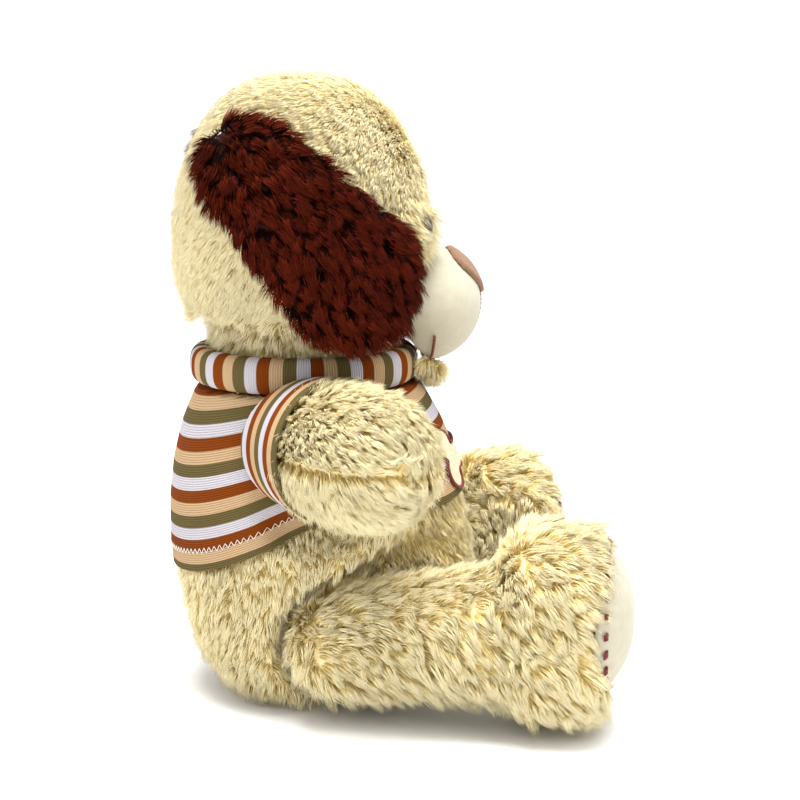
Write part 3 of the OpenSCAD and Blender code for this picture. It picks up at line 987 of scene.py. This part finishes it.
def sew_zigzag(base, ways):
    """The zigzag of thread over the hem: up to a row between two columns and down to a row at the next."""
    row = int(1.75 * STRIPE / RIB * RIB_ROWS)
    low, high = base[row - 6], base[row + 6]
    high = (high + np.roll(high, -1, axis=0)) / 2
    normals = np.repeat(ways, 2, axis=0)
    points = np.stack([low, high], axis=1).reshape(-1, 3) + normals * 0.5 * MM
    thread = spindles("hem_thread", points, np.roll(points, -1, axis=0), normals,
                      0.35 * MM, 0.35 * MM, [white_thread])
    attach(thread, "torso")


def bone_edge(spread, pieces):
    """Points round the bone's outline, in its own flat X and Z: four round knobs and two straight sides."""
    half = BONE_HALF - BONE_KNOB
    knob_z = BONE_KNOB - 2 * MM
    radius = BONE_KNOB + spread
    waist = knob_z + spread
    inner = math.asin(min(knob_z / radius, 1))
    points = []
    for x_sign, z_sign in ((1, 1), (-1, 1), (-1, -1), (1, -1)):
        centre = np.array([x_sign * half, z_sign * knob_z])
        first, last = -inner, math.pi - math.asin((waist - knob_z) / radius)
        turns = np.linspace(first, last, pieces)
        if x_sign * z_sign < 0:
            turns = turns[::-1]
        for turn in turns:
            points.append(centre + radius * np.array([x_sign * math.cos(turn), z_sign * math.sin(turn)]))
    return np.array(points)


def evenly(points, step):
    """A closed outline's points, step apart."""
    closed = np.vstack([points, points[:1]])
    along = np.concatenate([[0], np.cumsum(np.linalg.norm(np.diff(closed, axis=0), axis=1))])
    at = np.linspace(0, along[-1], int(along[-1] / step), endpoint=False)
    return np.stack([np.interp(at, along, closed[:, k]) for k in range(2)], axis=1)


def build_bone(sweater):
    """The bone on the chest: a felt patch with a satin-stitched edge, laid on the knit."""
    tree = tree_of(sweater.data)

    def on_chest(flat, stand):
        """Places on the knit behind the flat points, moved out by stand, and each one's way out."""
        forward = Vector((0, 1, 0))
        places = np.array([tree.ray_cast(Vector((x, -0.3, BONE_Z + z)), forward)[0] for x, z in flat])
        ways = unit(places - (TORSO_MID + [0, 0, 50 * MM]))
        return places + ways * stand, ways

    edge = evenly(bone_edge(0, 24), 0.55 * MM)
    rings = np.array([1.0, 0.985, 0.9, 0.7, 0.45, 0.2, 0.02])
    verts = []
    for share in rings:
        verts.append(on_chest(edge * [share ** 0.5, share], 1.0 * MM if share < 1 else 0.1 * MM)[0])
    count = len(edge)
    quads = []
    for r in range(len(rings) - 1):
        for k in range(count):
            n = (k + 1) % count
            quads.append([r * count + k, r * count + n, (r + 1) * count + n, (r + 1) * count + k])
    patch = make("bone_patch", np.vstack(verts), [np.array(quads)], [felt])
    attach(patch, "torso")
    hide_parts("chest_bone")
    inner = on_chest(edge * 0.975, 1.1 * MM)[0]
    outer, normals = on_chest(edge * 1.02 + unit(edge) * 0.7 * MM, 0.5 * MM)
    satin = spindles("bone_satin", inner, outer, normals, 0.75 * MM, 1.3 * MM, [maroon_thread], 0.5)
    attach(satin, "torso")
    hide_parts("chest_bone_border")


def build_collar():
    """The rolled collar, a tube whose stripes and ribs run across it."""
    around = 2 * math.pi * COLLAR_R
    rows = int(around / RIB) * RIB_ROWS
    along = np.arange(rows) * around / rows
    turn = along / COLLAR_R
    profile = np.linspace(0, 2 * math.pi, 28, endpoint=False)
    high = (COLLAR_HIGH - COLLAR_LOW) / 2
    mid_z = (COLLAR_HIGH + COLLAR_LOW) / 2
    out = np.stack([np.cos(turn), np.sin(turn), np.zeros(rows)], axis=1)[:, None]
    up = np.array([0, 0, 1.0])
    wide = np.sign(np.cos(profile)) * np.abs(np.cos(profile)) ** 0.8
    tall = np.sign(np.sin(profile)) * np.abs(np.sin(profile)) ** 0.8
    outward = out * np.cos(profile)[None, :, None] + up * np.sin(profile)[None, :, None]
    base = np.array([0, AXIS_Y, mid_z]) + out * (COLLAR_R + (COLLAR_HALF - 0.4 * MM) * wide[None, :, None])
    base = base + up * ((high - 0.4 * MM) * tall[None, :, None])
    made = knit_sheet("sweater_collar_roll", base, outward, around - along, closed_rows=True)
    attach(made, "torso")
    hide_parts("sweater_collar")


def build_sleeve(side):
    sign = SIDES[side]
    way, shoulder = arm_way(sign), mirrored(SHOULDER, sign)
    columns = 120
    turns = np.linspace(0, 2 * math.pi, columns, endpoint=False)
    sideways = np.array([math.sin(ARM_FORWARD) * sign, math.cos(ARM_FORWARD), 0])
    out = np.cos(turns)[:, None] * sideways + np.sin(turns)[:, None] * np.array([0, 0, 1.0])
    rise = (ARM_R - ARM_ROOT_R) / (ARM_WIDE_S - ARM_ROOT_S)
    root_x = (SHOULDER_PLANE + 0.5 * MM - SHOULDER[0]) - out[:, 0] * sign * (ARM_ROOT_R + SLEEVE_STAND)
    low = root_x / math.cos(ARM_FORWARD)
    fine = np.arange(low.min(), SLEEVE_LONG, RIB / RIB_ROWS)
    at = np.maximum(fine[:, None], low[None])
    radius = ARM_ROOT_R + (at - ARM_ROOT_S) * rise + SLEEVE_STAND
    base = shoulder + at[..., None] * way + radius[..., None] * out[None]
    outward = out * (fine[:, None] > low)[..., None]
    made = knit_sheet("sleeve_" + side + "_knit", base, outward, SLEEVE_LONG - fine, stripe=SLEEVE_STRIPE,
                      inward=np.broadcast_to(-out, base.shape))
    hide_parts("sleeve_" + side)
    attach(made, "arm_" + side)


# ---- materials of the CAD nodes that stay ----

KEPT = {
    "neck_skin": cream_backing,
    "neck_stuffing": fibre,
    "eye_right": eye_gloss,
    "eye_left": eye_gloss,
    "eye_washer_right": washer_nylon,
    "eye_washer_left": washer_nylon,
}


def dress_kept_nodes():
    for node, finish in KEPT.items():
        for slot in NODES[node].material_slots:
            slot.material = finish


# ---- floor, light and camera ----

LOOK_AT = Vector((0, -9 * MM, 146 * MM))
CAMERA_AZIMUTH = math.radians(-96.5)
CAMERA_ELEVATION = math.radians(10)
CAMERA_AWAY = 1.012


def view_way(azimuth, elevation):
    """The way out to a place round the dog. Azimuth 0 is in front of it, -90 degrees at its right side."""
    return Vector((
        math.sin(azimuth) * math.cos(elevation),
        -math.cos(azimuth) * math.cos(elevation),
        math.sin(elevation),
    ))


def area_light(name, azimuth, elevation, away, size, power):
    lamp = bpy.data.lights.new(name, "AREA")
    lamp.energy = power
    lamp.size = size
    holder = bpy.data.objects.new(name, lamp)
    holder.location = LOOK_AT + view_way(math.radians(azimuth), math.radians(elevation)) * away
    holder.rotation_euler = (LOOK_AT - holder.location).to_track_quat("-Z", "Y").to_euler()
    bpy.context.scene.collection.objects.link(holder)


def build_stage():
    scene = bpy.context.scene
    scene.view_settings.view_transform = "Standard"
    reach = 4.0
    floor = make(
        "floor",
        [(-reach, -reach, 0), (reach, -reach, 0), (reach, reach, 0), (-reach, reach, 0)],
        [np.array([[0, 1, 2, 3]])],
        [material("floor", (0.93, 0.93, 0.93, 1), rough=0.9)],
    )
    world = bpy.data.worlds.new("studio")
    world.use_nodes = True
    background = world.node_tree.nodes["Background"]
    background.inputs["Color"].default_value = (1, 1, 1, 1)
    background.inputs["Strength"].default_value = 1.1
    scene.world = world
    area_light("key", -60, 50, 1.4, 0.8, 5)
    area_light("top", -100, 80, 1.3, 0.8, 32)
    lens = bpy.data.cameras.new("camera")
    lens.lens = 90
    lens.sensor_width = 36
    camera = bpy.data.objects.new("camera", lens)
    camera.location = LOOK_AT + view_way(CAMERA_AZIMUTH, CAMERA_ELEVATION) * CAMERA_AWAY
    camera.rotation_euler = (LOOK_AT - camera.location).to_track_quat("-Z", "Y").to_euler()
    scene.collection.objects.link(camera)
    scene.camera = camera


build_stage()
build_head()
build_neck()
build_muzzle()
build_mouth()
build_torso()
build_bone(build_sweater())
build_collar()
for each_side in SIDES:
    build_ear(each_side)
    build_arm(each_side)
    build_sleeve(each_side)
    build_leg(each_side)
dress_kept_nodes()
